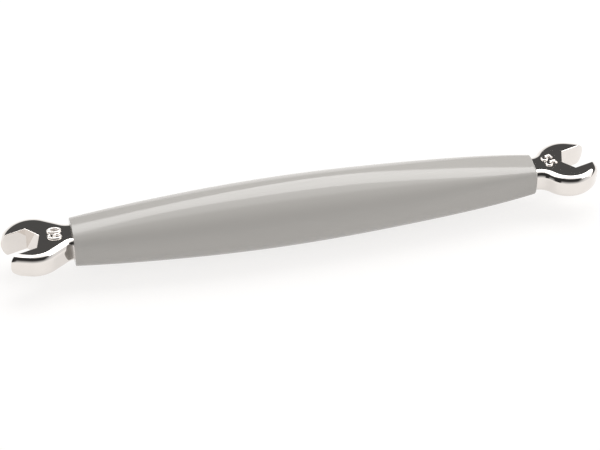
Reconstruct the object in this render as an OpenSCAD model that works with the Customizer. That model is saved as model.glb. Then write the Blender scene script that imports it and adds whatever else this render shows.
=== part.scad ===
// Double-ended spoke wrench: a moulded barrel handle with an open hexagonal head cast at each end.
// The wrench lies flat along X. The origin is under its middle, on the surface that it rests on.

/* [Handle] */
// Length of the handle from end face to end face
handle_l = 95.9; // [80:0.1:120]
// Height of the handle at its fattest section
handle_mid_h = 13.7; // [11:0.1:18]
// Height of the handle's end face at the larger jaw
handle_large_end_h = 8.7; // [7.6:0.1:10]
// Height of the handle's end face at the smaller jaw
handle_small_end_h = 6.4; // [6.2:0.1:9]
// Width of the handle as a share of its height
handle_width_share = 1.06; // [1:0.01:1.3]
// Radius of the soft edge round the end face at the smaller jaw
handle_lip_r = 0.5; // [0.2:0.05:0.8]

/* [Jaws] */
// Width across the flats of the larger jaw
large_jaw_af = 6.0; // [5:0.1:6.6]
// Width across the flats of the smaller jaw
small_jaw_af = 5.5; // [4.5:0.1:6]
// Angle between each jaw and the handle, in degrees
jaw_angle = 15; // [0:1:20]
// Radius at which each mouth curves outwards past its flats
mouth_flare_r = 4.5; // [3:0.1:6]

/* [Larger head] */
// How far the larger head stands out of the handle
large_head_out = 14.1; // [13.8:0.1:20]
// Radius of the round of the larger head
large_head_r = 6.4; // [6:0.05:8]
// Thickness of the larger head
large_head_t = 5.5; // [4.5:0.1:6]
// Width of the larger head's neck
large_neck_w = 6.4; // [5.6:0.1:6.8]

/* [Smaller head] */
// How far the smaller head stands out of the handle
small_head_out = 13.4; // [13.0:0.1:20]
// Radius of the round of the smaller head
small_head_r = 6.35; // [5.8:0.05:8]
// Thickness of the smaller head
small_head_t = 5.2; // [4.5:0.1:5.3]
// Width of the smaller head's neck
small_neck_w = 6.0; // [5.4:0.1:6.1]

/* [Heads] */
// Radius of the round along the outer edges of both heads
edge_r = 1.5; // [0.6:0.05:1.55]
// Distance from the centre of each head's round to the centre of its jaw
jaw_forward = 2.0; // [1.2:0.1:2.6]
// Share of each tip's reach past its flat that is left where it meets the top and bottom faces
tip_dome = 0.35; // [0.25:0.05:1]

/* [Tangs] */
// Length of each full-width neck that sits in the handle
neck_in_l = 4.5; // [3:0.5:8]
// Length of each tang behind its neck
tang_l = 22; // [14:1:28]
// Width of the tangs
tang_w = 4.6; // [3.8:0.1:5]
// Thickness of the tangs
tang_t = 3.2; // [2.4:0.1:3.6]
// Radius of the notches that lock the tangs into the moulding
notch_r = 1.1; // [0.6:0.1:1.4]
// Gap all round between the steel and the moulding
seat_gap = 0.05; // [0.02:0.01:0.1]

/* [Hidden] */

overall_l = large_head_out + handle_l + small_head_out;
axis_h = handle_mid_h / 2;
large_end_x = large_head_out - overall_l / 2;
small_end_x = large_end_x + handle_l;

// The handle's top and bottom lines are one parabola, through its fattest section and both end faces
large_end_drop = (handle_mid_h - handle_large_end_h) / 2;
small_end_drop = (handle_mid_h - handle_small_end_h) / 2;
belly_x = large_end_x + handle_l * sqrt(large_end_drop) / (sqrt(large_end_drop) + sqrt(small_end_drop));
// Length of the level stretch that the handle rests on
belly_l = 16;

// The section runs from nearly round in the middle to a soft square at the ends
mid_exponent = 2.12;
large_end_exponent = 2.7;
small_end_exponent = 4.7;
exponent_power = 4;
// Half the angle of the level facets along the top and bottom, and of the facets at the sides
level_facet = 9;
side_facet = 3.75;
quarter_steps = 11;
rings_per_side = 8;
lip_steps = 3;

// Each jaw is longer on one side. Its tips are rounded about points inside the line of the flats,
// at these distances along the mouth from the jaw's centre
long_tip_r = 1.6;
long_tip_inside = 0.25;
large_long_tip_s = 2.03;
small_long_tip_s = 2.18;
short_tip_r = 2.3;
short_tip_inside = 1.1;
large_short_tip_s = 2.75;
small_short_tip_s = 2.65;
// The flats end a little past the hexagon's corners, and then curve away between these two angles
flat_end_extra = 0.5;
flare_from_angle = 5;
flare_to_angle = 25;
mouth_cut_l = 8;

// Hollow rounds where each neck runs into its head, on the longer jaw's side and on the shorter jaw's
long_side_hollow_r = 3.0;
short_side_hollow_r = 1.9;
// Distance from the handle's end face to where the hollows start
hollow_start = 0.1;

// Shifts along X of the round's centre on those two sides, which turn the head a little with its mouth
long_side_shift = 0.2;
short_side_shift = -0.35;

edge_steps = 4;
degrees_per_step = 9;
flare_steps = 6;
// Share of edge_r that rounds the neck's inner end
corner_share = 1.03;
notch_pitch = 7;
overrun = 1;

// A unit vector at an angle
function heading(angle) = [cos(angle), sin(angle)];

// Keeps a ratio within the reach of acos
function clamped(ratio) = min(1, max(-1, ratio));

// Angle of the outward normal on the straight run from one peg to the next
function run_normal(a, b) =
    let (d = [b[0] - a[0], b[1] - a[1]])
    atan2(d[1], d[0]) - acos(clamped((a[2] - b[2]) / norm(d)));

// Turns an angle into the range from zero up to a full turn
function full_turn(angle) = angle - 360 * floor(angle / 360);

// A loop of pegs [x, y, radius] is an outline pulled tight round them.
// A negative radius marks a peg that the outline passes on its outside, as a hollow.
function peg_before(pegs, i) = pegs[(i + len(pegs) - 1) % len(pegs)];
function peg_after(pegs, i) = pegs[(i + 1) % len(pegs)];

// Normal angle at which the outline meets peg i
function start_angle(pegs, i) = run_normal(peg_before(pegs, i), pegs[i]);

// How far the outline turns round peg i: forwards on a rounded corner, backwards in a hollow
function sweep(pegs, i) =
    let (turn = run_normal(pegs[i], peg_after(pegs, i)) - start_angle(pegs, i))
    pegs[i][2] > 0 ? full_turn(turn) : -full_turn(-turn);

// Number of straight steps round each peg
function arc_steps(pegs) =
    [for (i = [0 : len(pegs) - 1]) max(2, ceil(abs(sweep(pegs, i)) / degrees_per_step))];

// Points of the outline, moved inwards by inset
function belt(pegs, steps, inset = 0) = [
    for (i = [0 : len(pegs) - 1])
    let (start = start_angle(pegs, i), turn = sweep(pegs, i))
    for (k = [0 : steps[i]])
    [pegs[i][0], pegs[i][1]] + (pegs[i][2] - inset) * heading(start + turn * k / steps[i])
];

// A solid skinned over rings of points, each with as many points
module skin(rings) {
    n = len(rings[0]);
    last = len(rings) - 1;
    polyhedron(
        points = [for (ring = rings) for (p = ring) p],
        faces = [
            [for (i = [0 : n - 1]) i],
            [for (i = [0 : n - 1]) last * n + n - 1 - i],
            for (k = [0 : last - 1])
            for (i = [0 : n - 1])
            let (j = (i + 1) % n)
            each [
                [k * n + i, (k + 1) * n + i, (k + 1) * n + j],
                [k * n + i, (k + 1) * n + j, k * n + j]
            ]
        ]
    );
}

// Draws a point of a head's outline back where it lies past the flats, so that the tips are domed.
// depth is its height from the middle as a share of half the thickness
function domed(p, depth, flats_end, long_end, short_end) =
    let (
        past = p * heading(jaw_angle) - jaw_forward - flats_end,
        reach = (p * heading(jaw_angle + 90) < 0 ? long_end : short_end) - flats_end,
        kept = sqrt(1 - pow(depth, 2) * (1 - pow(tip_dome, 2)))
    )
    past <= 0 ? p : p + (past / (1 + (1 / kept - 1) * past / reach) - past) * heading(jaw_angle);

// A plate of thickness t whose outline follows the pegs, with edges rounded top and bottom and domed tips
module rounded_plate(pegs, t, flats_end, long_end, short_end) {
    steps = arc_steps(pegs);
    edge = [for (i = [0 : edge_steps])
        let (angle = 90 * i / edge_steps)
        [edge_r * (1 - sin(angle)), t / 2 - edge_r * (1 - cos(angle))]];
    levels = concat(
        [for (i = [0 : edge_steps]) [edge[i][0], -edge[i][1]]],
        [[0, 0]],
        [for (i = [edge_steps : -1 : 0]) edge[i]]
    );
    skin([
        for (level = levels)
        [
            for (p = belt(pegs, steps, level[0]))
            let (q = domed(p, abs(level[1]) / (t / 2), flats_end, long_end, short_end))
            [q[0], q[1], level[1]]
        ]
    ]);
}

// Places a point given along the mouth, s, and across it, n, about a head's centre
function in_mouth(s, n) = (jaw_forward + s) * heading(jaw_angle) + n * heading(jaw_angle + 90);

function peg(p, r) = [p[0], p[1], r];

// Where the flats of a jaw end, along the mouth from the jaw's centre
function flats_end(af) = af / sqrt(12) + flat_end_extra;

// How far a head's outline reaches past its centre, towards the tip of the longer jaw
function head_reach(af, long_tip_s) = in_mouth(long_tip_s, long_tip_inside - af / 2)[0] + long_tip_r;

// Outline of a head about its centre, with its mouth turned towards +Y and its neck along -X
function head_pegs(af, r, neck_w, neck_end, hollow_x, long_tip_s, short_tip_s) =
    let (corner_r = edge_r * corner_share)
    [
        [neck_end + corner_r, corner_r - neck_w / 2, corner_r],
        [hollow_x, -neck_w / 2 - long_side_hollow_r, -long_side_hollow_r],
        [long_side_shift, 0, r],
        peg(in_mouth(long_tip_s, long_tip_inside - af / 2), long_tip_r),
        peg(in_mouth(short_tip_s, af / 2 - short_tip_inside), short_tip_r),
        [short_side_shift, 0, r],
        [hollow_x, neck_w / 2 + short_side_hollow_r, -short_side_hollow_r],
        [neck_end + corner_r, neck_w / 2 - corner_r, corner_r]
    ];

// Hexagon open at its mouth, which curves outwards past the flats
module jaw_opening(af, t) {
    corner = af / sqrt(3);
    flat_end = flats_end(af);
    flare = [
        for (i = [0 : flare_steps])
        let (angle = flare_from_angle + (flare_to_angle - flare_from_angle) * i / flare_steps)
        [flat_end, af / 2] + mouth_flare_r
        * [sin(angle) - sin(flare_from_angle), cos(flare_from_angle) - cos(angle)]
    ];
    flare_end = flare[flare_steps];
    outer = [mouth_cut_l, flare_end[1] + (mouth_cut_l - flare_end[0]) * tan(flare_to_angle)];
    side = concat([[-corner, 0], [-corner / 2, af / 2]], flare, [outer]);
    outline = concat(side, [for (i = [len(side) - 1 : -1 : 1]) [side[i][0], -side[i][1]]]);
    rotate(jaw_angle)
    translate([jaw_forward, 0, -t / 2 - overrun])
    linear_extrude(height = t + 2 * overrun)
    polygon(outline);
}

// Flat tang with locking notches, from x = 0 towards -X
module tang(gap = 0) {
    translate([0, 0, -tang_t / 2 - gap])
    linear_extrude(height = tang_t + 2 * gap)
    difference() {
        translate([-tang_l - gap, -tang_w / 2 - gap])
        square([tang_l + gap + neck_in_l / 2, tang_w + 2 * gap]);
        for (row = [1 : floor((tang_l - notch_r) / notch_pitch)])
        for (side = [-1, 1])
        translate([-row * notch_pitch, side * tang_w / 2])
        circle(r = notch_r - gap, $fn = 32);
    }
}

// The straight neck as it sits in the handle, grown by gap, from the shoulder at x = 0 towards +X
module neck_bar(w, t, length, gap) {
    y = w / 2 - edge_r;
    z = t / 2 - edge_r;
    r = edge_r + gap;
    translate([-gap, 0, 0])
    rotate([90, 0, 90])
    linear_extrude(height = length + gap)
    let (corners = [[y, -z, r], [y, z, r], [-y, z, r], [-y, -z, r]])
    polygon(belt(corners, arc_steps(corners)));
}

// A whole head about the centre of its round. reach is the distance back to the handle's end face
module head(af, r, t, neck_w, reach, long_tip_s, short_tip_s) {
    neck_end = -reach - neck_in_l;
    difference() {
        rounded_plate(
            head_pegs(af, r, neck_w, neck_end, hollow_start - reach, long_tip_s, short_tip_s),
            t, flats_end(af), long_tip_s + long_tip_r, short_tip_s + short_tip_r
        );
        jaw_opening(af, t);
    }
    translate([neck_end, 0, 0]) tang();
}

// The space that a head's neck and tang take up in the handle, from the end face at x = 0
module head_seat(neck_w, t) {
    translate([-neck_in_l, 0, 0]) {
        neck_bar(neck_w, t, neck_in_l + overrun, seat_gap);
        tang(seat_gap);
    }
}

large_reach = large_head_out - head_reach(large_jaw_af, large_long_tip_s);
small_reach = small_head_out - head_reach(small_jaw_af, small_long_tip_s);

// Share of the way from the fattest section to the end face on the same side
function end_share(x) = (x - belly_x) / ((x < belly_x ? large_end_x : small_end_x) - belly_x);

function half_height(x) =
    handle_mid_h / 2 - (x < belly_x ? large_end_drop : small_end_drop) * pow(end_share(x), 2);

function exponent(x) =
    mid_exponent + ((x < belly_x ? large_end_exponent : small_end_exponent) - mid_exponent)
    * pow(end_share(x), exponent_power);

function signed_power(value, power) = sign(value) * pow(abs(value), power);

// One section of the handle, drawn in by inset. Its top and bottom facets lie at the full height
function handle_ring(x, shape_x, inset) =
    let (
        power = 2 / exponent(shape_x),
        h = (half_height(shape_x) - inset) / pow(cos(level_facet), power),
        w = (half_height(shape_x) * handle_width_share - inset) / pow(cos(side_facet), power),
        step = (90 - level_facet - side_facet) / quarter_steps
    )
    [
        for (quarter = [0 : 3], i = [0 : quarter_steps])
        let (angle = quarter % 2 == 0
            ? 90 * quarter + side_facet + step * i
            : 90 * quarter + level_facet + step * i)
        [x, w * signed_power(cos(angle), power), h * signed_power(sin(angle), power)]
    ];

// Moulded barrel, pocketed at each end for a head's neck and tang
module handle() {
    level_from = belly_x - belly_l / 2;
    level_to = belly_x + belly_l / 2;
    lip_x = small_end_x - handle_lip_r;
    rings = [
        for (i = [0 : rings_per_side - 1])
        let (x = large_end_x + (level_from - large_end_x) * i / rings_per_side)
        handle_ring(x, x, 0),
        handle_ring(level_from, belly_x, 0),
        handle_ring(level_to, belly_x, 0),
        for (i = [1 : rings_per_side])
        let (x = level_to + (lip_x - level_to) * i / rings_per_side)
        handle_ring(x, x, 0),
        for (i = [1 : lip_steps])
        let (angle = 90 * i / lip_steps)
        handle_ring(lip_x + handle_lip_r * sin(angle), lip_x, handle_lip_r * (1 - cos(angle)))
    ];
    color("darkgray")
    translate([0, 0, axis_h])
    difference() {
        skin(rings);
        translate([large_end_x, 0, 0]) rotate(180) head_seat(large_neck_w, large_head_t);
        translate([small_end_x, 0, 0]) head_seat(small_neck_w, small_head_t);
    }
}

// Head with the larger jaw. Its mouth is turned towards -Y
module head_6_0() {
    color("gainsboro")
    translate([large_end_x - large_reach, 0, axis_h])
    rotate(180)
    head(large_jaw_af, large_head_r, large_head_t, large_neck_w, large_reach,
        large_long_tip_s, large_short_tip_s);
}

// Head with the smaller jaw. Its mouth is turned towards +Y
module head_5_5() {
    color("gainsboro")
    translate([small_end_x + small_reach, 0, axis_h])
    head(small_jaw_af, small_head_r, small_head_t, small_neck_w, small_reach,
        small_long_tip_s, small_short_tip_s);
}

handle();
head_6_0();
head_5_5();
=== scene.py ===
"""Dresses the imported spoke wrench: a glossy moulded handle and two nickel-plated jaw heads."""

import math
from typing import NamedTuple

import bmesh
import bpy
import numpy as np
from mathutils import Matrix


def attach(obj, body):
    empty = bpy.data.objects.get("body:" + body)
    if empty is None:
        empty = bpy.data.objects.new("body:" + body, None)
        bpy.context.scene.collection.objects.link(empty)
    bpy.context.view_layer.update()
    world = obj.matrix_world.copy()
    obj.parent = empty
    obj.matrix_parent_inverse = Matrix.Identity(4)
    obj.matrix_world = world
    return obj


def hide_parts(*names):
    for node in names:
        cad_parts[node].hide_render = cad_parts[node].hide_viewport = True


bl_info = {
    "name": "Spoke Wrench",
    "version": (1, 0, 0),
    "blender": (4, 5, 0),
    "location": "3D View > Sidebar > Wrench",
    "description": "Builds a double-ended spoke wrench and its studio round the packed frame",
    "category": "Object",
}

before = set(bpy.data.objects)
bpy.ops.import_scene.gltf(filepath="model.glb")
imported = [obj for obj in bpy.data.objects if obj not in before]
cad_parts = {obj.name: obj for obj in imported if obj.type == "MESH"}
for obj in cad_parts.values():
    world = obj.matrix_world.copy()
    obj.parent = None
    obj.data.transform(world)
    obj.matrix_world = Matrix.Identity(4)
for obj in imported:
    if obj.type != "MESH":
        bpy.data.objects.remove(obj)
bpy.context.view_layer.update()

BODY = "root"
MM = 0.001
MICRON = 0.000001
QUARTER = math.pi / 2


# Sizes and colours

def distance(name, description, default, least=0.0):
    return bpy.props.FloatProperty(
        name=name, description=description, default=default, min=least,
        unit="LENGTH", subtype="DISTANCE", precision=4)


def tint(name, description, default):
    return bpy.props.FloatVectorProperty(
        name=name, description=description, default=default, min=0.0, max=1.0,
        size=3, subtype="COLOR")


def share(name, description, default, most=10.0):
    return bpy.props.FloatProperty(
        name=name, description=description, default=default, min=0.0, max=most,
        subtype="FACTOR")


def squareness(name, description, default):
    """The exponent of a section: 2 for an ellipse, and more for a softened square."""
    return bpy.props.FloatProperty(
        name=name, description=description, default=default, min=2.0, max=8.0)


def own_properties(group):
    """The settings that a property group declares itself."""
    return [p for p in group.bl_rna.properties if p.identifier not in {"rna_type", "name"}]


class WrenchHandleSizes(bpy.types.PropertyGroup):
    """Sizes of the moulded barrel handle. Its node tree has inputs of the same names."""

    length: distance("Length", "Length from end face to end face", 0.0959)
    large_end: distance(
        "Larger End", "Place of the end face at the larger jaw, along X", -0.0476, -1.0)
    middle_height: distance("Middle Height", "Height of the fattest section", 0.0137)
    large_end_height: distance("Larger End Height", "Height at the larger jaw", 0.0087)
    small_end_height: distance("Smaller End Height", "Height at the smaller jaw", 0.0064)
    width_share: share("Width Share", "Width of a section as a share of its height", 1.06)
    rim_radius: distance("Rim Radius", "Tiny round of the rim at the larger jaw", 0.00018)
    lip_radius: distance("Lip Radius", "Soft round of the rim at the smaller jaw", 0.0005)
    middle_exponent: squareness("Middle Exponent", "Squareness of the fattest section", 2.12)
    large_end_exponent: squareness("Larger End Exponent", "Squareness at the larger jaw", 2.7)
    small_end_exponent: squareness("Smaller End Exponent", "Squareness at the smaller jaw", 4.7)


class WrenchHeadSizes(bpy.types.PropertyGroup):
    """Sizes of one jaw head, by default the larger one."""

    jaw_width: distance("Jaw Width", "Width across the flats", 0.006)
    out: distance("Out", "How far the head stands out of the handle", 0.0141)
    round_radius: distance("Round Radius", "Radius of the round of the head", 0.0064)
    thickness: distance("Thickness", "Thickness of the head", 0.0055)
    neck_width: distance("Neck Width", "Width of the neck", 0.0064)
    edge_radius: distance("Edge Radius", "Round of the outer edges", 0.0015)
    jaw_forward: distance("Jaw Forward", "From the round's centre to the jaw's centre", 0.002)
    flare_radius: distance("Flare Radius", "Curve of the mouth past its flats", 0.0045)
    long_tip: distance("Long Tip", "Long jaw's tip past the jaw's centre", 0.00203)
    short_tip: distance("Short Tip", "Short jaw's tip past the jaw's centre", 0.0026)
    short_tip_top: share("Short Tip Top", "Share of the short tip left at the top", 0.6, 1.0)
    short_tip_bottom: share("Short Tip Bottom", "Share of it left at the bottom", 0.2, 1.0)


SMALL_HEAD = {
    "jaw_width": 0.0055, "out": 0.0134, "round_radius": 0.00635, "thickness": 0.0052,
    "neck_width": 0.006, "long_tip": 0.00218, "short_tip": 0.0025,
    "short_tip_top": 0.25, "short_tip_bottom": 0.45,
}


class WrenchFinishes(bpy.types.PropertyGroup):
    """Colours and roughness of the wrench."""

    plastic: tint("Plastic", "Colour of the handle", (0.40, 0.385, 0.365))
    plastic_roughness: share("Plastic Roughness", "Roughness of the handle", 0.055, 1.0)
    nickel: tint("Nickel", "Colour of the plated steel", (0.800, 0.760, 0.725))
    nickel_roughness: share("Nickel Roughness", "Roughness of the heads", 0.02, 1.0)
    numeral_roughness: share("Numeral Roughness", "Roughness of the numerals", 0.3, 1.0)


class WrenchStudio(bpy.types.PropertyGroup):
    """Colours and strengths of the studio."""

    floor: tint("Floor", "Colour of the floor", (0.93, 0.92, 0.91))
    room: share("Room", "Strength of the light from all round", 0.69)
    mirrored_room: share("Mirrored Room", "Brightness of the room in reflections", 0.85)
    mirrored_softbox: share("Mirrored Softbox", "Brightness of the softbox in reflections", 2.9)
    softbox: bpy.props.FloatProperty(
        name="Softbox", description="Power of the lamp above", default=8.2,
        min=0.0, unit="POWER")


class WrenchSettings(bpy.types.PropertyGroup):
    """Everything that a user may change."""

    handle: bpy.props.PointerProperty(type=WrenchHandleSizes)
    large_head: bpy.props.PointerProperty(type=WrenchHeadSizes)
    small_head: bpy.props.PointerProperty(type=WrenchHeadSizes)
    finishes: bpy.props.PointerProperty(type=WrenchFinishes)
    studio: bpy.props.PointerProperty(type=WrenchStudio)


# Node helpers

class Field:
    """A socket in a node tree, on which arithmetic adds Math nodes."""

    def __init__(self, tree, socket):
        self.tree = tree
        self.socket = socket

    def worked_out(self, operation, *values):
        """The result of a Math node that takes these values in their order."""
        node = self.tree.nodes.new("ShaderNodeMath")
        node.operation = operation
        for slot, value in zip(node.inputs, values):
            if isinstance(value, Field):
                self.tree.links.new(value.socket, slot)
            else:
                slot.default_value = value
        return Field(self.tree, node.outputs[0])

    def math(self, operation, *others):
        """The result of a Math node that takes this field first."""
        return self.worked_out(operation, self, *others)

    def __add__(self, other):
        return self.math("ADD", other)

    def __sub__(self, other):
        return self.math("SUBTRACT", other)

    def __rsub__(self, other):
        return self.worked_out("SUBTRACT", other, self)

    def __mul__(self, other):
        return self.math("MULTIPLY", other)

    def __truediv__(self, other):
        return self.math("DIVIDE", other)

    def __rtruediv__(self, other):
        return self.worked_out("DIVIDE", other, self)

    def __pow__(self, other):
        return self.math("POWER", other)

    __radd__ = __add__

    def clamped(self):
        """The field, kept between 0 and 1."""
        return self.math("MAXIMUM", 0.0).math("MINIMUM", 1.0)

    def ramp(self, span, height=1.0):
        """Eased from 0 at the span's first value to the height at its second, which may be lower."""
        node = self.tree.nodes.new("ShaderNodeMapRange")
        node.interpolation_type = "SMOOTHSTEP"
        self.tree.links.new(self.socket, node.inputs["Value"])
        node.inputs["From Min"].default_value = span[0]
        node.inputs["From Max"].default_value = span[1]
        node.inputs["To Max"].default_value = height
        return Field(self.tree, node.outputs["Result"])


def add(tree, kind, **inputs):
    """A node of that kind. Underscores in the input names stand for spaces."""
    node = tree.nodes.new(kind)
    for name, value in inputs.items():
        socket = node.inputs[name.replace("_", " ")]
        if isinstance(value, Field):
            tree.links.new(value.socket, socket)
        elif isinstance(value, bpy.types.NodeSocket):
            tree.links.new(value, socket)
        else:
            socket.default_value = value
    return node


def start_tree(title, inputs):
    """A Geometry Nodes tree with inputs of those kinds, its input fields and their identifiers."""
    tree = bpy.data.node_groups.new(title, "GeometryNodeTree")
    identifiers = {}
    for name, kind in inputs.items():
        item = tree.interface.new_socket(name, in_out="INPUT", socket_type="NodeSocket" + kind)
        identifiers[name] = item.identifier
    tree.interface.new_socket("Geometry", in_out="OUTPUT", socket_type="NodeSocketGeometry")
    outputs = tree.nodes.new("NodeGroupInput").outputs
    return tree, {name: Field(tree, outputs[name]) for name in inputs}, identifiers


def end_tree(tree, geometry, material):
    """Gives a tree's geometry its material and hands it out."""
    real = add(tree, "GeometryNodeRealizeInstances", Geometry=geometry)
    painted = add(tree, "GeometryNodeSetMaterial", Geometry=real.outputs[0], Material=material)
    add(tree, "NodeGroupOutput", Geometry=painted.outputs[0])


def grown_mesh(tree, identifiers, values, start_data, name):
    """The plain mesh that a node tree makes of an object."""
    source = bpy.data.objects.new("source", start_data)
    bpy.context.scene.collection.objects.link(source)
    modifier = source.modifiers.new("Shape", "NODES")
    modifier.node_group = tree
    for key, value in values.items():
        modifier[identifiers[key]] = value
    depsgraph = bpy.context.evaluated_depsgraph_get()
    mesh = bpy.data.meshes.new_from_object(
        source.evaluated_get(depsgraph), preserve_all_data_layers=True, depsgraph=depsgraph)
    mesh.name = name
    source.modifiers.remove(modifier)
    bpy.data.objects.remove(source)
    bpy.data.node_groups.remove(tree)
    return mesh


# Materials

# Roughness that a finish gains where its broad and its fine pattern are at their highest
BROAD_ROUGHENING = 0.03
FINE_ROUGHENING = 0.01
# How far the plate's normals are tipped towards the back, as a share of their length
PLATE_TIPPING = 0.13


def blank_material(name):
    """A new material of that name, with an empty node tree."""
    old = bpy.data.materials.get(name)
    if old:
        bpy.data.materials.remove(old)
    material = bpy.data.materials.new(name)
    material.use_nodes = True
    tree = material.node_tree
    tree.nodes.clear()
    return material, tree


def noise(tree, scale, detail=2.0, roughness=0.5, stretch=None):
    """A noise pattern on the piece's own coordinates, in bumps per metre."""
    place = tree.nodes.new("ShaderNodeTexCoord").outputs["Object"]
    if stretch:
        place = add(tree, "ShaderNodeMapping", Vector=place, Scale=stretch).outputs[0]
    node = add(tree, "ShaderNodeTexNoise", Vector=place, Scale=scale, Detail=detail,
               Roughness=roughness)
    return Field(tree, node.outputs["Fac"])


def varied(tree, colour, pattern, amount):
    """The colour, a little darker and lighter with the pattern."""
    node = tree.nodes.new("ShaderNodeMix")
    node.data_type = "RGBA"
    tree.links.new(pattern.socket, node.inputs["Factor"])
    for end, level in (("A", 1 - amount), ("B", 1 + amount)):
        node.inputs[end].default_value = [min(1.0, c * level) for c in colour] + [1.0]
    return node.outputs["Result"]


def bumped(tree, *layers):
    """The normal after a row of bumps, given as (pattern, height in metres) pairs."""
    normal = None
    for pattern, height in layers:
        node = add(tree, "ShaderNodeBump", Height=pattern, Strength=1.0, Distance=height)
        if normal is not None:
            tree.links.new(normal, node.inputs["Normal"])
        normal = node.outputs["Normal"]
    return normal


def fallen_back(tree, normal, amount):
    """The normal tipped towards the back, as if the faces fell away a little."""
    for operation, value in (("ADD", (0.0, amount, 0.0)), ("NORMALIZE", None)):
        node = tree.nodes.new("ShaderNodeVectorMath")
        node.operation = operation
        tree.links.new(normal, node.inputs[0])
        if value:
            node.inputs[1].default_value = value
        normal = node.outputs[0]
    return normal


def finish_surface(tree, colour, roughness, normal, **constants):
    """Ends a material's tree with its shader. The constants are set on the shader's own sockets."""
    surface = add(tree, "ShaderNodeBsdfPrincipled", Base_Color=colour, Roughness=roughness,
                  Normal=normal, **constants)
    add(tree, "ShaderNodeOutputMaterial", Surface=surface.outputs[0])


def glossy_plastic(name, colour, roughness):
    """Smooth moulded plastic with a faint long ripple, flow haze and orange peel."""
    material, tree = blank_material(name)
    haze = noise(tree, scale=90.0, detail=3.0, roughness=0.55, stretch=(0.35, 1.0, 1.0))
    grain = noise(tree, scale=2600.0)
    ripple = noise(tree, scale=150.0, detail=1.0, roughness=0.4, stretch=(0.3, 1.0, 1.0))
    peel = noise(tree, scale=900.0, detail=1.0)
    finish_surface(
        tree,
        colour=varied(tree, colour, haze, amount=0.025),
        roughness=roughness + haze * BROAD_ROUGHENING + grain * FINE_ROUGHENING,
        normal=bumped(tree, (ripple, 12 * MICRON), (peel, 1.2 * MICRON)),
        IOR=1.5)
    return material


def nickel_plate(name, colour, roughness):
    """Bright nickel over a cast and tumbled surface, which is faintly wavy and mottled."""
    material, tree = blank_material(name)
    mottle = noise(tree, scale=420.0, detail=3.0, roughness=0.6)
    grain = noise(tree, scale=2400.0)
    wave = noise(tree, scale=260.0, detail=1.0, roughness=0.4)
    pitting = noise(tree, scale=1300.0)
    normal = bumped(tree, (wave, 12 * MICRON), (pitting, 0.6 * MICRON))
    finish_surface(
        tree,
        colour=varied(tree, colour, mottle, amount=0.035),
        roughness=roughness + mottle * BROAD_ROUGHENING + grain * FINE_ROUGHENING,
        normal=fallen_back(tree, normal, PLATE_TIPPING),
        Metallic=1.0)
    return material


# Mesh helpers

def add_piece(name, mesh, material, slot, *nodes):
    """Puts a finished mesh in the scene, on the frame's one body."""
    piece = bpy.data.objects.new(name, mesh)
    bpy.context.scene.collection.objects.link(piece)
    mesh.materials.clear()
    mesh.materials.append(material)
    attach(piece, BODY)
    if nodes:
        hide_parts(*nodes)
    return piece


def shade(mesh, sharp_angle):
    """Smooth faces with crisp edges where the surface turns by more than the angle in degrees."""
    for face in mesh.polygons:
        face.use_smooth = True
    mesh.set_sharp_from_angle(angle=math.radians(sharp_angle))


def weigh_normals(piece):
    """Lets each large flat face keep its own shading up to its edges."""
    modifier = piece.modifiers.new("Flat faces stay flat", "WEIGHTED_NORMAL")
    modifier.mode = "FACE_AREA"
    modifier.weight = 100
    modifier.keep_sharp = True


def bridge(bm, loops):
    """Faces between closed loops of as many points, which advance along the loops' own normal."""
    for low, high in zip(loops, loops[1:]):
        for i in range(len(low)):
            j = (i + 1) % len(low)
            bm.faces.new((low[i], low[j], high[j], high[i]))


def loft(bm, rings):
    """A closed solid through the rings."""
    loops = [[bm.verts.new(p) for p in ring] for ring in rings]
    bridge(bm, loops)
    bm.faces.new(loops[0][::-1])
    bm.faces.new(loops[-1])


def turn_outward(bm, near):
    """Merges points that are that near each other, and turns every face outwards."""
    bmesh.ops.remove_doubles(bm, verts=bm.verts, dist=near)
    bmesh.ops.recalc_face_normals(bm, faces=bm.faces)


# Heads, in millimetres

# The mouth: its turn from the neck's line, how far its flats run past the hexagon's corners, the
# turns between which it flares, how far its walls are drawn, and the round of its edges
JAW_ANGLE = math.radians(15)
FLAT_EXTRA = 0.5
FLARE_ANGLES = (math.radians(5), math.radians(25))
MOUTH_LENGTH = 9.0
MOUTH_EDGE = 0.1

# The long and the short tip: their radii, and how far their centres lie inside the flats' lines
TIP_RADII = (1.6, 2.7)
TIP_INSIDE = (0.25, 1.6)
# Share of the long tip left at the top and the bottom, and how late both tips are drawn back
LONG_TIP_SHARE = 0.35
TIP_DOME_POWER = 1.4

# The neck's length inside the handle, and its hidden corners as a share of the edges' radius
NECK_IN = 4.5
CORNER_SHARE = 1.03
# The hollows beside the neck, the long jaw's side first, and how far from the handle their centres
# lie. The arcs of the head's round, in that order, are shifted along the neck's line.
HOLLOW_RADII = (3.0, 1.9)
HOLLOW_START = 0.1
ROUND_SHIFTS = (0.2, -0.35)

# The tang, which laps into the neck, and its pairs of locking notches
TANG_LENGTH = 22.0
TANG_WIDTH = 4.6
TANG_THICKNESS = 3.2
TANG_LAP = 1.0
NOTCH_RADIUS = 1.1
NOTCH_PITCH = 7.0
NOTCH_ROWS = 3

# Degrees between the points of an arc, and numbers of levels, points and steps
ARC_STEP = 1.5
FEWEST_ARC_STEPS = 3
RUN_STEPS = 8
FILLET_LEVELS = 12
WALL_LEVELS = 5
TIP_POINTS = 60
FLARE_POINTS = 16
FLAT_STEPS = 6
NOTCH_POINTS = 17

# The outline starts at the short tip's peg. The arcs of the head's round come second and seventh.
SHORT_TIP_PEG = 4
FIRST_ROUND_ARC = 1
LAST_ROUND_ARC = 6
# The least stretch of the flare that a ring keeps, as a share of a step along the mouth's wall
LEAST_FLARE_SHARE = 0.1
TINY = 1e-12


def heading(angle):
    """The unit direction at that angle from +X."""
    return np.array([math.cos(angle), math.sin(angle)])


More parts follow.
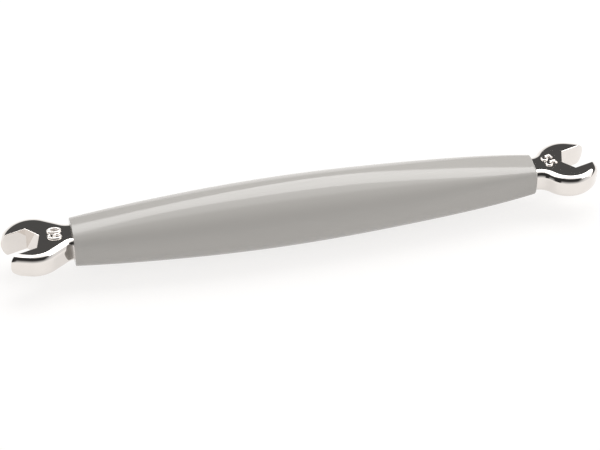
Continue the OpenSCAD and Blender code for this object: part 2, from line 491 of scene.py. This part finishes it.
def run_normal(a, b):
    """Direction that the straight run from one peg to the next faces."""
    d = b[:2] - a[:2]
    return math.atan2(d[1], d[0]) - math.acos(max(-1, min(1, (a[2] - b[2]) / np.hypot(*d))))


def belt(pegs, inset, first):
    """Outline pulled tight round the pegs and moved in by inset.

    A peg is (x, y, radius), and a negative radius makes a hollow. The outline starts on the run
    to the peg numbered first. The second result is where each arc starts and ends in it.
    """
    count = len(pegs)
    arcs = []
    for i in range(first, first + count):
        before, peg, after = (pegs[k % count] for k in (i - 1, i, i + 1))
        start = run_normal(before, peg)
        turn = run_normal(peg, after) - start
        turn = turn % math.tau if peg[2] > 0 else -(-turn % math.tau)
        steps = max(FEWEST_ARC_STEPS, math.ceil(abs(math.degrees(turn)) / ARC_STEP))
        arcs.append([peg[:2] + (peg[2] - inset) * heading(start + turn * k / steps)
                     for k in range(steps + 1)])
    middle = (arcs[-1][-1] + arcs[0][0]) / 2
    points, marks = [middle], []
    for k, arc in enumerate(arcs):
        if k:
            gap = arc[0] - points[-1]
            points += [points[-1] + gap * s / RUN_STEPS for s in range(1, RUN_STEPS)]
        marks.append((len(points), len(points) + len(arc) - 1))
        points += arc
    points.append(middle)
    return np.array(points), marks


def crossing(path, wall):
    """Where the path first meets the wall, as a place along each of them."""
    p, r = path[:-1, None], np.diff(path, axis=0)[:, None]
    q, s = wall[None, :-1], np.diff(wall, axis=0)[None]
    cross = r[..., 0] * s[..., 1] - r[..., 1] * s[..., 0]
    cross = np.where(abs(cross) < TINY, TINY, cross)
    d = q - p
    t = (d[..., 0] * s[..., 1] - d[..., 1] * s[..., 0]) / cross
    u = (d[..., 0] * r[..., 1] - d[..., 1] * r[..., 0]) / cross
    hits = np.argwhere((t >= 0) & (t <= 1) & (u >= 0) & (u <= 1))
    if not len(hits):
        raise RuntimeError("a head's outline misses its mouth; check the head's sizes")
    i, j = hits[0]
    return i + t[i, j], j + u[i, j]


def along(path, start, end, count):
    """Points at even distances along a path from one place on it to another."""
    inner = np.arange(math.floor(start) + 1, math.ceil(end))
    places = np.concatenate(([start], inner, [end]))
    index = np.minimum(places.astype(int), len(path) - 2)
    points = path[index] + (places - index)[:, None] * (path[index + 1] - path[index])
    travel = np.concatenate(([0], np.cumsum(np.hypot(*np.diff(points, axis=0).T))))
    wanted = np.linspace(0, travel[-1], count)
    return np.stack([np.interp(wanted, travel, points[:, k]) for k in (0, 1)], 1)


class Head:
    """One head about the centre of its round, with its neck along -X and its mouth turned to +Y."""

    def __init__(self, sizes):
        self.jaw_width = sizes.jaw_width / MM
        self.thickness = sizes.thickness / MM
        self.edge = sizes.edge_radius / MM
        self.flare = sizes.flare_radius / MM
        self.forward = sizes.jaw_forward / MM
        self.neck = sizes.neck_width / MM
        self.short_shares = (sizes.short_tip_top, sizes.short_tip_bottom)
        round_radius = sizes.round_radius / MM
        tips = (sizes.long_tip / MM, sizes.short_tip / MM)
        self.flat_end = self.jaw_width / math.sqrt(12) + FLAT_EXTRA
        self.tip_reach = [tip + r - self.flat_end for tip, r in zip(tips, TIP_RADII)]
        long_peg = self.in_mouth(tips[0], TIP_INSIDE[0] - self.jaw_width / 2)
        short_peg = self.in_mouth(tips[1], self.jaw_width / 2 - TIP_INSIDE[1])
        self.reach = sizes.out / MM - long_peg[0] - TIP_RADII[0]
        self.neck_end = -self.reach - NECK_IN
        corner = self.edge * CORNER_SHARE
        hollow_x = HOLLOW_START - self.reach
        self.pegs = [np.array(p) for p in (
            (self.neck_end + corner, corner - self.neck / 2, corner),
            (hollow_x, -self.neck / 2 - HOLLOW_RADII[0], -HOLLOW_RADII[0]),
            (ROUND_SHIFTS[0], 0.0, round_radius),
            (*long_peg, TIP_RADII[0]),
            (*short_peg, TIP_RADII[1]),
            (ROUND_SHIFTS[1], 0.0, round_radius),
            (hollow_x, self.neck / 2 + HOLLOW_RADII[1], -HOLLOW_RADII[1]),
            (self.neck_end + corner, self.neck / 2 - corner, corner),
        )]

    def in_mouth(self, s, n):
        """The point s along the mouth's axis from the jaw's centre and n to its side."""
        return (self.forward + s) * heading(JAW_ANGLE) + n * heading(JAW_ANGLE + QUARTER)

    def mouth_side(self, side, grown):
        """The mouth's wall on one side, from the throat's corner to outside, moved out by grown."""
        half = self.jaw_width / 2 + grown
        first, last = FLARE_ANGLES
        points = [(-2 * half / math.sqrt(3), 0.0), (-half / math.sqrt(3), half),
                  (self.flat_end - grown * math.tan(first / 2), half)]
        for a in np.linspace(first, last, FLARE_POINTS)[1:]:
            s = self.flat_end - self.flare * math.sin(first) + (self.flare - grown) * math.sin(a)
            n = self.jaw_width / 2 + self.flare * math.cos(first) - (self.flare - grown) * math.cos(a)
            points.append((s, n))
        s, n = points[-1]
        points.append((MOUTH_LENGTH, n + (MOUTH_LENGTH - s) * math.tan(last)))
        return np.array([self.in_mouth(s, side * n) for s, n in points])

    def drawn_back(self, outline, z, keep):
        """The outline with its tips drawn back towards the creases, more so near the faces."""
        s = outline @ heading(JAW_ANGLE) - self.forward
        n = outline @ heading(JAW_ANGLE + QUARTER)
        depth = min(1.0, abs(z) / (self.thickness / 2))
        moved = s.copy()
        for side, kept, reach in zip((-1, 1), keep, self.tip_reach):
            k = 1 - (1 - kept) * depth ** TIP_DOME_POWER
            beyond = (s > self.flat_end) & (n * side > 0)
            d = s[beyond] - self.flat_end
            moved[beyond] = self.flat_end + d / (1 + (1 / k - 1) * d / reach)
        return outline + (moved - s)[:, None] * heading(JAW_ANGLE)

    def ring(self, inset, z, keep):
        """The loop round the head at one height: short tip, neck, long tip and mouth."""
        outline, marks = belt(self.pegs, inset, SHORT_TIP_PEG)
        outline = self.drawn_back(outline, z, keep)
        left = max(0.0, MOUTH_EDGE - (self.thickness / 2 - abs(z)))
        grown = MOUTH_EDGE - math.sqrt(MOUTH_EDGE ** 2 - left ** 2)
        long_wall, short_wall = self.mouth_side(-1, grown), self.mouth_side(1, grown)
        start, start_wall = crossing(outline, short_wall[1:])
        end, end_wall = crossing(outline[::-1], long_wall[1:])
        end = len(outline) - 1 - end
        near_start, near_end = (sum(marks[k]) // 2 for k in (FIRST_ROUND_ARC, LAST_ROUND_ARC))
        outer = np.concatenate((
            along(outline, start, near_start, TIP_POINTS),
            outline[near_start + 1:near_end],
            along(outline, near_end, end, TIP_POINTS)))
        flare_in, flare_out = (
            along(wall[1:], min(1, far - LEAST_FLARE_SHARE), far, FLARE_POINTS)
            for wall, far in ((long_wall, end_wall), (short_wall, start_wall)))
        flats = []
        corners = [flare_in[0], long_wall[1], long_wall[0], short_wall[1], flare_out[0]]
        for a, b in zip(corners, corners[1:]):
            flats += [a + (b - a) * k / FLAT_STEPS for k in range(1, FLAT_STEPS + 1)]
        loop = np.concatenate((outer, flare_in[-2::-1], np.array(flats[:-1]), flare_out[:-1]))
        return np.column_stack((loop, np.full(len(loop), z)))

    def rings(self):
        """Loops from the bottom face to the top face."""
        half = self.thickness / 2
        levels = [(self.edge * (1 - math.sin(a)), half - self.edge * (1 - math.cos(a)))
                  for a in np.linspace(0, QUARTER, FILLET_LEVELS + 1)]
        levels += [(0.0, (half - self.edge) * (1 - k / WALL_LEVELS))
                   for k in range(1, WALL_LEVELS + 1)]
        upper, lower = ([self.ring(inset, z, (LONG_TIP_SHARE, kept)) for inset, z in levels]
                        for kept in self.short_shares)
        return [ring * (1, 1, -1) for ring in lower[:-1]] + upper[::-1]

    def tang_outline(self):
        """The flat tang's outline with its locking notches, anticlockwise."""
        side = TANG_WIDTH / 2
        front = [(self.neck_end - TANG_LENGTH, -side)]
        for row in range(NOTCH_ROWS, 0, -1):
            x = self.neck_end - NOTCH_PITCH * row
            front += [(x - NOTCH_RADIUS * math.cos(a), NOTCH_RADIUS * math.sin(a) - side)
                      for a in np.linspace(0, math.pi, NOTCH_POINTS)]
        front.append((self.neck_end + TANG_LAP, -side))
        return np.array(front + [(x, -y) for x, y in front[::-1]])

    def mesh(self, name, turned, place):
        """The head's mesh, turned about its round's centre and then put in its place."""
        bm = bmesh.new()
        loft(bm, self.rings())
        outline = self.tang_outline()
        half = TANG_THICKNESS / 2
        loft(bm, [np.column_stack((outline, np.full(len(outline), z))) for z in (-half, half)])
        turn_outward(bm, near=1e-4)
        matrix = Matrix.Scale(MM, 4) @ Matrix.Translation(place) @ Matrix.Rotation(turned, 4, "Z")
        bmesh.ops.transform(bm, matrix=matrix, verts=bm.verts)
        mesh = bpy.data.meshes.new(name)
        bm.to_mesh(mesh)
        bm.free()
        shade(mesh, sharp_angle=32)
        return mesh


# Handle

HANDLE_RINGS = 151
SECTION_POINTS = 145
# Shares of the rings at which the rim's round ends and the lip's round starts
RIM_SHARE = 0.04
LIP_SHARE = 0.94
# How late the section turns square on its way to an end
SQUARING_POWER = 4
# In millimetres: the air round the steel, and how near an end face its rim's points lie
POCKET_GAP = 0.05
RIM_NEAR = 0.2


def handle_span(settings):
    """The height of the handle's axis and the X of its two end faces, in millimetres."""
    sizes = settings.handle
    left = sizes.large_end / MM
    return sizes.middle_height / 2 / MM, left, left + sizes.length / MM


def barrel_profile(given, x):
    """Half the barrel's height and its section's exponent at a place along X."""
    middle, large_end = given["Middle Height"], given["Larger End"]
    large_drop = (middle - given["Larger End Height"]) / 2
    small_drop = (middle - given["Smaller End Height"]) / 2
    large_root, small_root = large_drop.math("SQRT"), small_drop.math("SQRT")
    belly = large_end + given["Length"] * large_root / (large_root + small_root)
    before = x.math("LESS_THAN", belly)
    after = 1 - before
    end_x = before * large_end + after * (large_end + given["Length"])
    part = ((x - belly) / (end_x - belly)).clamped()
    half = middle / 2 - (before * large_drop + after * small_drop) * part * part
    end_power = before * given["Larger End Exponent"] + after * given["Smaller End Exponent"]
    middle_power = given["Middle Exponent"]
    return half, middle_power + (end_power - middle_power) * part ** SQUARING_POWER


def barrel_tree(sizes):
    """Geometry Nodes: a barrel whose sections run from nearly round to a soft square."""
    tree, given, identifiers = start_tree("Barrel handle", {
        **dict.fromkeys(sizes, "Float"),
        "Rings": "Int", "Section Points": "Int", "Material": "Material"})
    grid = add(tree, "GeometryNodeMeshGrid", Size_X=1.0, Size_Y=1.0,
               Vertices_X=given["Rings"], Vertices_Y=given["Section Points"])
    position = tree.nodes.new("GeometryNodeInputPosition").outputs[0]
    spot = add(tree, "ShaderNodeSeparateXYZ", Vector=position)
    u, v = (Field(tree, spot.outputs[k]) + 0.5 for k in range(2))

    rim, lip = given["Rim Radius"], given["Lip Radius"]
    rim_angle = ((RIM_SHARE - u) / RIM_SHARE).clamped() * QUARTER
    lip_angle = ((u - LIP_SHARE) / (1 - LIP_SHARE)).clamped() * QUARTER
    inset = rim * (1 - rim_angle.math("COSINE")) + lip * (1 - lip_angle.math("COSINE"))
    body = ((u - RIM_SHARE) / (LIP_SHARE - RIM_SHARE)).clamped()
    body_x = given["Larger End"] + rim + body * (given["Length"] - rim - lip)
    x = body_x - rim * rim_angle.math("SINE") + lip * lip_angle.math("SINE")

    half, power = barrel_profile(given, body_x)
    width = half * given["Width Share"] - inset
    height = half - inset
    angle = v * math.tau
    across, up = angle.math("COSINE"), angle.math("SINE")
    total = (across.math("ABSOLUTE") / width) ** power + (up.math("ABSOLUTE") / height) ** power
    radius = 1.0 / (total ** (1.0 / power))
    place = add(tree, "ShaderNodeCombineXYZ", X=x, Y=radius * across,
                Z=radius * up + given["Middle Height"] / 2)
    moved = add(tree, "GeometryNodeSetPosition", Geometry=grid.outputs["Mesh"],
                Position=place.outputs[0])
    merged = add(tree, "GeometryNodeMergeByDistance", Geometry=moved.outputs[0], Distance=1e-7)
    end_tree(tree, merged.outputs[0], given["Material"])
    return tree, identifiers


def box_ring(half_y, half_z, corner, angles):
    """Points of a rounded box at the given angles about its middle, in millimetres."""
    points = []
    for a in angles:
        c, s = abs(math.cos(a)), abs(math.sin(a))
        far = min(half_y / max(c, TINY), half_z / max(s, TINY))
        y, z = far * c, far * s
        cy, cz = half_y - corner, half_z - corner
        if corner > 0 and y > cy and z > cz:
            b = cy * c + cz * s
            far = b + math.sqrt(max(0.0, b * b - cy * cy - cz * cz + corner * corner))
            y, z = far * c, far * s
        points.append((math.copysign(y, math.cos(a)), math.copysign(z, math.sin(a))))
    return points


def close_end(bm, end_x, inward, head, axis):
    """Closes one open end of the barrel with its face, the neck's pocket and the tang's slot."""
    def angle(vert):
        return math.atan2(vert.co.z - axis * MM, vert.co.y)

    rim = [v for v in bm.verts if v.is_boundary and abs(v.co.x - end_x * MM) < RIM_NEAR * MM]
    rim.sort(key=angle)
    angles = [angle(v) for v in rim]
    neck = box_ring(head.neck / 2 + POCKET_GAP, head.thickness / 2 + POCKET_GAP,
                    head.edge + POCKET_GAP, angles)
    slot = box_ring(TANG_WIDTH / 2 + POCKET_GAP, TANG_THICKNESS / 2 + POCKET_GAP, 0.0, angles)
    neck_x = end_x + inward * (NECK_IN + POCKET_GAP)
    slot_x = neck_x + inward * TANG_LENGTH
    loops = [rim]
    for ring, x in ((neck, end_x), (neck, neck_x), (slot, neck_x), (slot, slot_x)):
        loops.append([bm.verts.new((x * MM, y * MM, (z + axis) * MM)) for y, z in ring])
    bridge(bm, loops)
    bm.faces.new(loops[-1])


# Numerals

class Numeral(NamedTuple):
    """A jaw size that is raised on a head, in millimetres and degrees."""

    name: str
    head: str
    text: str
    height: float
    stroke_radius: float
    space_share: float
    centre: tuple
    turned: float


NUMERALS = (
    Numeral(name="numerals_6_0", head="large_head", text="6.0", height=2.5, stroke_radius=0.29,
            space_share=0.08, centre=(-51.05, 0.3), turned=86),
    Numeral(name="numerals_5_5", head="small_head", text="5.5", height=2.05, stroke_radius=0.23,
            space_share=0.16, centre=(51.7, 0.7), turned=-72),
)
NUMERAL_SINK = 0.05
STROKE_SIDES = 20


def arc(middle, radii, start, end, count):
    """Points of an ellipse from one angle to another, in degrees."""
    return [(middle[0] + radii[0] * math.cos(a), middle[1] + radii[1] * math.sin(a))
            for a in np.radians(np.linspace(start, end, count))]


def figure_strokes(character):
    """A figure's width and the centre lines of its strokes, in a box one high."""
    if character == "0":
        return 0.48, [arc((0.24, 0.5), (0.24, 0.5), 0, 360, 25)]
    if character == "6":
        bowl = arc((0.24, 0.29), (0.24, 0.29), 0, 360, 21)
        back = [(0.44, 0.88), (0.36, 0.97), (0.25, 1.0), (0.13, 0.93), (0.04, 0.76),
                (0.0, 0.52), (0.0, 0.3)]
        return 0.48, [bowl, back]
    if character == "5":
        bar = [(0.5, 1.0), (0.06, 1.0)]
        stem = [(0.06, 1.0), (0.0, 0.5)]
        bowl = arc((0.21, 0.3), (0.29, 0.3), 115, -140, 21)
        return 0.5, [bar, stem, [stem[-1], bowl[0]], bowl]
    point = [(0.03, 0.0), (0.03, 0.02)]
    return 0.06, [point]


def stroke_tree():
    """Geometry Nodes: a rounded raised stroke along each curve."""
    tree, given, identifiers = start_tree("Raised strokes", {
        "Geometry": "Geometry", "Stroke Radius": "Float", "Material": "Material"})
    profile = add(tree, "GeometryNodeCurvePrimitiveCircle", Resolution=STROKE_SIDES,
                  Radius=given["Stroke Radius"])
    tube = add(tree, "GeometryNodeCurveToMesh", Curve=given["Geometry"],
               Profile_Curve=profile.outputs["Curve"], Fill_Caps=True)
    end_tree(tree, tube.outputs[0], given["Material"])
    return tree, identifiers


def numeral_mesh(numeral, level, material):
    """Raised rounded figures, reading along the turned direction, sunk to their middle."""
    lines, x = [], 0.0
    for character in numeral.text:
        width, strokes = figure_strokes(character)
        lines += [[(x + px, py) for px, py in stroke] for stroke in strokes]
        x += width + numeral.space_share
    middle = (x - numeral.space_share) / 2
    turned = math.radians(numeral.turned)
    right, up = numeral.height * heading(turned), numeral.height * heading(turned + QUARTER)
    curve = bpy.data.curves.new(numeral.name, "CURVE")
    curve.dimensions = "3D"
    for line in lines:
        spline = curve.splines.new("POLY")
        spline.points.add(len(line) - 1)
        for target, (px, py) in zip(spline.points, line):
            x, y = numeral.centre + (px - middle) * right + (py - 0.5) * up
            target.co = (x * MM, y * MM, level * MM, 1.0)
    tree, identifiers = stroke_tree()
    values = {"Stroke Radius": numeral.stroke_radius * MM, "Material": material}
    return grown_mesh(tree, identifiers, values, curve, numeral.name)


# The mirrored room

# What glossy faces reflect is laid out by direction. A lean is in degrees from straight up,
# positive towards the camera. A side is -1 at the larger jaw's end and 1 at the other. A pair is
# where something fades in and where it is full, and a number after a pair is how high it gets.

# The dark stretch on the camera's side, which comes earlier and ends later at the left
FRONT_TOP, FRONT_BOTTOM = (-4.0, 9.0), (96.0, 42.0)
FRONT_LEFT, FRONT_RIGHT = (-1.0, -0.75), (0.95, 0.5)
FRONT_EARLIER = ((-0.05, -0.3), 9.0)
FRONT_LATER = ((-0.42, -0.6), 42.0)
FRONT_DARKNESS = 0.96

# The dark strip low behind the wrench
STRIP_START = (-86.0, -78.0)
STRIP_DARKNESS = 0.9

# The softbox: its far and near edges, its blur on the near side, its ends and its seam
BOX_FAR = -62.0
BOX_FAR_EDGE = (-1.0, 1.0)
BOX_FAR_ASIDE = ((0.0, 0.17), 12.0)
BOX_FAR_LEFT = ((-0.12, -0.22), 4.5)
BOX_NEAR = -25.5
BOX_NEAR_RIGHT = ((0.1, 0.42), 17.0)
BOX_NEAR_BULGE = ((0.45, 0.62), 18.0)
BOX_BULGE_END = (0.72, 0.62)
BOX_BLUR = 2.0
BOX_BLUR_LEFT = ((-0.08, -0.2), 30.0)
BOX_ENDS = (0.78, 0.72)
SEAM_SIDE = -0.049
SEAM_SLANT = 0.00125
SEAM = ((0.008, 0.002), 0.25)

# The glow of the ceiling round the softbox
GLOW = ((-50.0, -40.0), 0.4)
GLOW_END = (10.0, -2.0)


def mirrored_light(lean, side, studio):
    """How bright the room is in reflections, by direction."""
    aside = side.math("ABSOLUTE")
    top = lean + side.ramp(*FRONT_EARLIER)
    bottom = lean - side.ramp(*FRONT_LATER)
    front = top.ramp(FRONT_TOP) * bottom.ramp(FRONT_BOTTOM)
    front = front * side.ramp(FRONT_LEFT) * side.ramp(FRONT_RIGHT)

    far = aside.ramp(*BOX_FAR_ASIDE) + side.ramp(*BOX_FAR_LEFT) + BOX_FAR
    lit = (lean - far).ramp(BOX_FAR_EDGE)
    strip = lean.ramp(STRIP_START) * (1 - lit)
    near = (side.ramp(*BOX_NEAR_RIGHT) + side.ramp(*BOX_NEAR_BULGE) * side.ramp(BOX_BULGE_END)
            + BOX_NEAR)
    past = ((lean - near) / (side.ramp(*BOX_BLUR_LEFT) + BOX_BLUR)).clamped()
    seam = (side + lean * SEAM_SLANT - SEAM_SIDE).math("ABSOLUTE").ramp(*SEAM)
    box = lit * (1 - past) * aside.ramp(BOX_ENDS) * (1 - seam)

    room = lean.ramp(*GLOW) * lean.ramp(GLOW_END) + studio.mirrored_room
    dark = front * FRONT_DARKNESS + strip * STRIP_DARKNESS
    return room * (1 - dark) + box * studio.mirrored_softbox


# Operators

class WRENCH_OT_handle(bpy.types.Operator):
    """Builds the glossy barrel handle in place of its CAD node"""

    bl_idname = "wrench.handle"
    bl_label = "Build Handle"

    def execute(self, context):
        settings = context.scene.wrench
        sizes, finishes = settings.handle, settings.finishes
        material = glossy_plastic(
            "glossy_grey_plastic", finishes.plastic, finishes.plastic_roughness)
        values = {p.name: getattr(sizes, p.identifier) for p in own_properties(sizes)}
        tree, identifiers = barrel_tree(values)
        values.update({
            "Rings": HANDLE_RINGS, "Section Points": SECTION_POINTS, "Material": material})
        mesh = grown_mesh(tree, identifiers, values, bpy.data.meshes.new("start"), "barrel_handle")
        bm = bmesh.new()
        bm.from_mesh(mesh)
        axis, left, right = handle_span(settings)
        close_end(bm, left, 1, Head(settings.large_head), axis)
        close_end(bm, right, -1, Head(settings.small_head), axis)
        turn_outward(bm, near=1e-7)
        bm.to_mesh(mesh)
        bm.free()
        shade(mesh, sharp_angle=40)
        piece = add_piece("barrel_handle", mesh, material, "grip_plastic", "handle")
        weigh_normals(piece)
        return {"FINISHED"}


class WRENCH_OT_heads(bpy.types.Operator):
    """Builds both plated heads in place of their CAD nodes"""

    bl_idname = "wrench.heads"
    bl_label = "Build Heads"

    def execute(self, context):
        settings = context.scene.wrench
        finishes = settings.finishes
        material = nickel_plate("bright_nickel_plate", finishes.nickel, finishes.nickel_roughness)
        axis, left, right = handle_span(settings)
        for sizes, name, node, turned, end_x, side in (
                (settings.large_head, "large_jaw_head", "head_6_0", math.pi, left, -1),
                (settings.small_head, "small_jaw_head", "head_5_5", 0.0, right, 1)):
            head = Head(sizes)
            mesh = head.mesh(name, turned, (end_x + side * head.reach, 0.0, axis))
            piece = add_piece(name, mesh, material, "nickel_steel", node)
            weigh_normals(piece)
        return {"FINISHED"}


class WRENCH_OT_numerals(bpy.types.Operator):
    """Adds the raised jaw sizes on the heads"""

    bl_idname = "wrench.numerals"
    bl_label = "Add Size Numerals"

    def execute(self, context):
        settings = context.scene.wrench
        finishes = settings.finishes
        material = nickel_plate("cast_nickel_plate", finishes.nickel, finishes.numeral_roughness)
        axis, _, _ = handle_span(settings)
        for numeral in NUMERALS:
            thickness = getattr(settings, numeral.head).thickness / MM
            mesh = numeral_mesh(numeral, axis + thickness / 2 - NUMERAL_SINK, material)
            shade(mesh, sharp_angle=60)
            add_piece(numeral.name, mesh, material, "nickel_steel")
        return {"FINISHED"}


# The stage, in metres

# The camera's place in millimetres and its directions, which were fitted to the jaws' corners
CAMERA_PLACE = (-79.43, -346.51, 340.88)
CAMERA_RIGHT = (0.97645, -0.21564, 0.00576)
CAMERA_UP = (0.14472, 0.67468, 0.72379)
CAMERA_LENS = 144.0
SENSOR_WIDTH = 36.0
CAMERA_CLIP = (0.01, 50.0)
# Level direction from the wrench towards the camera
TO_FRONT = (-0.221, -0.975)

SOFTBOX_SIZE = (1.4, 0.42)
SOFTBOX_TILT = math.radians(25)
SOFTBOX_DISTANCE = 0.75
SOFTBOX_TO_RIGHT = 0.45

FLOOR_HALF = 6.0
# What the camera and glossy faces see of the floor besides its lit surface, and its share
FLOOR_WHITE = (1.0, 0.989, 0.98, 1.0)
FLOOR_WHITE_SHARE = 0.8


class WRENCH_OT_studio(bpy.types.Operator):
    """Makes the pale floor, the soft light and the camera"""

    bl_idname = "wrench.studio"
    bl_label = "Build Studio"

    def execute(self, context):
        studio = context.scene.wrench.studio
        self.make_floor(studio)
        self.make_world(context, studio)
        self.make_lamp(context, studio)
        self.make_camera(context)
        context.scene.view_settings.view_transform = "Standard"
        return {"FINISHED"}

    def make_floor(self, studio):
        """A level square that takes the wrench's shadow and is nearly white elsewhere."""
        material, tree = blank_material("pale_floor")
        matt = add(tree, "ShaderNodeBsdfDiffuse", Color=(*studio.floor, 1.0))
        white = add(tree, "ShaderNodeEmission", Color=FLOOR_WHITE, Strength=1.0)
        path = tree.nodes.new("ShaderNodeLightPath")
        camera, glossy = (Field(tree, path.outputs[name])
                          for name in ("Is Camera Ray", "Is Glossy Ray"))
        mixed = add(tree, "ShaderNodeMixShader",
                    Fac=(camera + glossy).clamped() * FLOOR_WHITE_SHARE)
        tree.links.new(matt.outputs[0], mixed.inputs[1])
        tree.links.new(white.outputs[0], mixed.inputs[2])
        add(tree, "ShaderNodeOutputMaterial", Surface=mixed.outputs[0])
        mesh = bpy.data.meshes.new("floor")
        corners = [(x * FLOOR_HALF, y * FLOOR_HALF, 0)
                   for x, y in ((-1, -1), (1, -1), (1, 1), (-1, 1))]
        mesh.from_pydata(corners, [], [(0, 1, 2, 3)])
        mesh.materials.append(material)
        floor = bpy.data.objects.new("floor", mesh)
        bpy.context.scene.collection.objects.link(floor)

    def make_world(self, context, studio):
        """A white room, with dark stretches and a softbox that only glossy faces see."""
        world = bpy.data.worlds.new("studio_room")
        world.use_nodes = True
        tree = world.node_tree
        tree.nodes.clear()
        direction = tree.nodes.new("ShaderNodeTexCoord").outputs["Generated"]
        parts = add(tree, "ShaderNodeSeparateXYZ", Vector=direction)
        x, y, z = (Field(tree, parts.outputs[k]) for k in range(3))
        forward = x * TO_FRONT[0] + y * TO_FRONT[1]
        lean = forward.math("ARCTAN2", z) * math.degrees(1)
        side = x * -TO_FRONT[1] + y * TO_FRONT[0]
        path = tree.nodes.new("ShaderNodeLightPath")
        camera, glossy = (Field(tree, path.outputs[name])
                          for name in ("Is Camera Ray", "Is Glossy Ray"))
        unseen = glossy * mirrored_light(lean, side, studio) + (1 - glossy) * studio.room
        background = add(tree, "ShaderNodeBackground", Color=(1.0, 1.0, 1.0, 1.0),
                         Strength=camera + (1 - camera) * unseen)
        add(tree, "ShaderNodeOutputWorld", Surface=background.outputs[0])
        context.scene.world = world

    def make_lamp(self, context, studio):
        """One long softbox above, a little behind the wrench and to its right."""
        data = bpy.data.lights.new("softbox", "AREA")
        data.shape = "RECTANGLE"
        data.size, data.size_y = SOFTBOX_SIZE
        data.energy = studio.softbox
        lamp = bpy.data.objects.new("softbox", data)
        lamp.visible_glossy = False
        context.scene.collection.objects.link(lamp)
        back = SOFTBOX_DISTANCE * math.sin(SOFTBOX_TILT)
        place = (SOFTBOX_TO_RIGHT - back * TO_FRONT[0], -back * TO_FRONT[1],
                 SOFTBOX_DISTANCE * math.cos(SOFTBOX_TILT))
        turn = math.atan2(-TO_FRONT[0], TO_FRONT[1]) + math.pi
        lamp.matrix_world = (Matrix.Translation(place) @ Matrix.Rotation(turn, 4, "Z")
                             @ Matrix.Rotation(-SOFTBOX_TILT, 4, "X"))

    def make_camera(self, context):
        """The photograph's view."""
        data = bpy.data.cameras.new("camera")
        data.lens = CAMERA_LENS
        data.sensor_width = SENSOR_WIDTH
        data.clip_start, data.clip_end = CAMERA_CLIP
        camera = bpy.data.objects.new("camera", data)
        context.scene.collection.objects.link(camera)
        axes = np.column_stack((CAMERA_RIGHT, CAMERA_UP, np.cross(CAMERA_RIGHT, CAMERA_UP)))
        place = Matrix.Translation([k * MM for k in CAMERA_PLACE])
        camera.matrix_world = place @ Matrix(axes.tolist()).to_4x4()
        context.scene.camera = camera


class WRENCH_PT_panel(bpy.types.Panel):
    """Lists the steps that build the wrench and its settings"""

    bl_idname = "WRENCH_PT_panel"
    bl_label = "Spoke Wrench"
    bl_space_type = "VIEW_3D"
    bl_region_type = "UI"
    bl_category = "Wrench"

    def draw(self, context):
        settings = context.scene.wrench
        for operator in OPERATORS:
            self.layout.operator(operator.bl_idname)
        for pointer in own_properties(settings):
            group = getattr(settings, pointer.identifier)
            box = self.layout.box()
            box.label(text=pointer.identifier.replace("_", " ").title())
            for prop in own_properties(group):
                box.prop(group, prop.identifier)


OPERATORS = (WRENCH_OT_handle, WRENCH_OT_heads, WRENCH_OT_numerals, WRENCH_OT_studio)
CLASSES = (WrenchHandleSizes, WrenchHeadSizes, WrenchFinishes, WrenchStudio, WrenchSettings,
           *OPERATORS, WRENCH_PT_panel)


def register():
    for cls in CLASSES:
        bpy.utils.register_class(cls)
    bpy.types.Scene.wrench = bpy.props.PointerProperty(type=WrenchSettings)


def unregister():
    del bpy.types.Scene.wrench
    for cls in reversed(CLASSES):
        bpy.utils.unregister_class(cls)


def main():
    register()
    small_head = bpy.context.scene.wrench.small_head
    for name, size in SMALL_HEAD.items():
        setattr(small_head, name, size)
    bpy.ops.wrench.handle()
    bpy.ops.wrench.heads()
    bpy.ops.wrench.numerals()
    bpy.ops.wrench.studio()


if __name__ == "__main__":
    main()
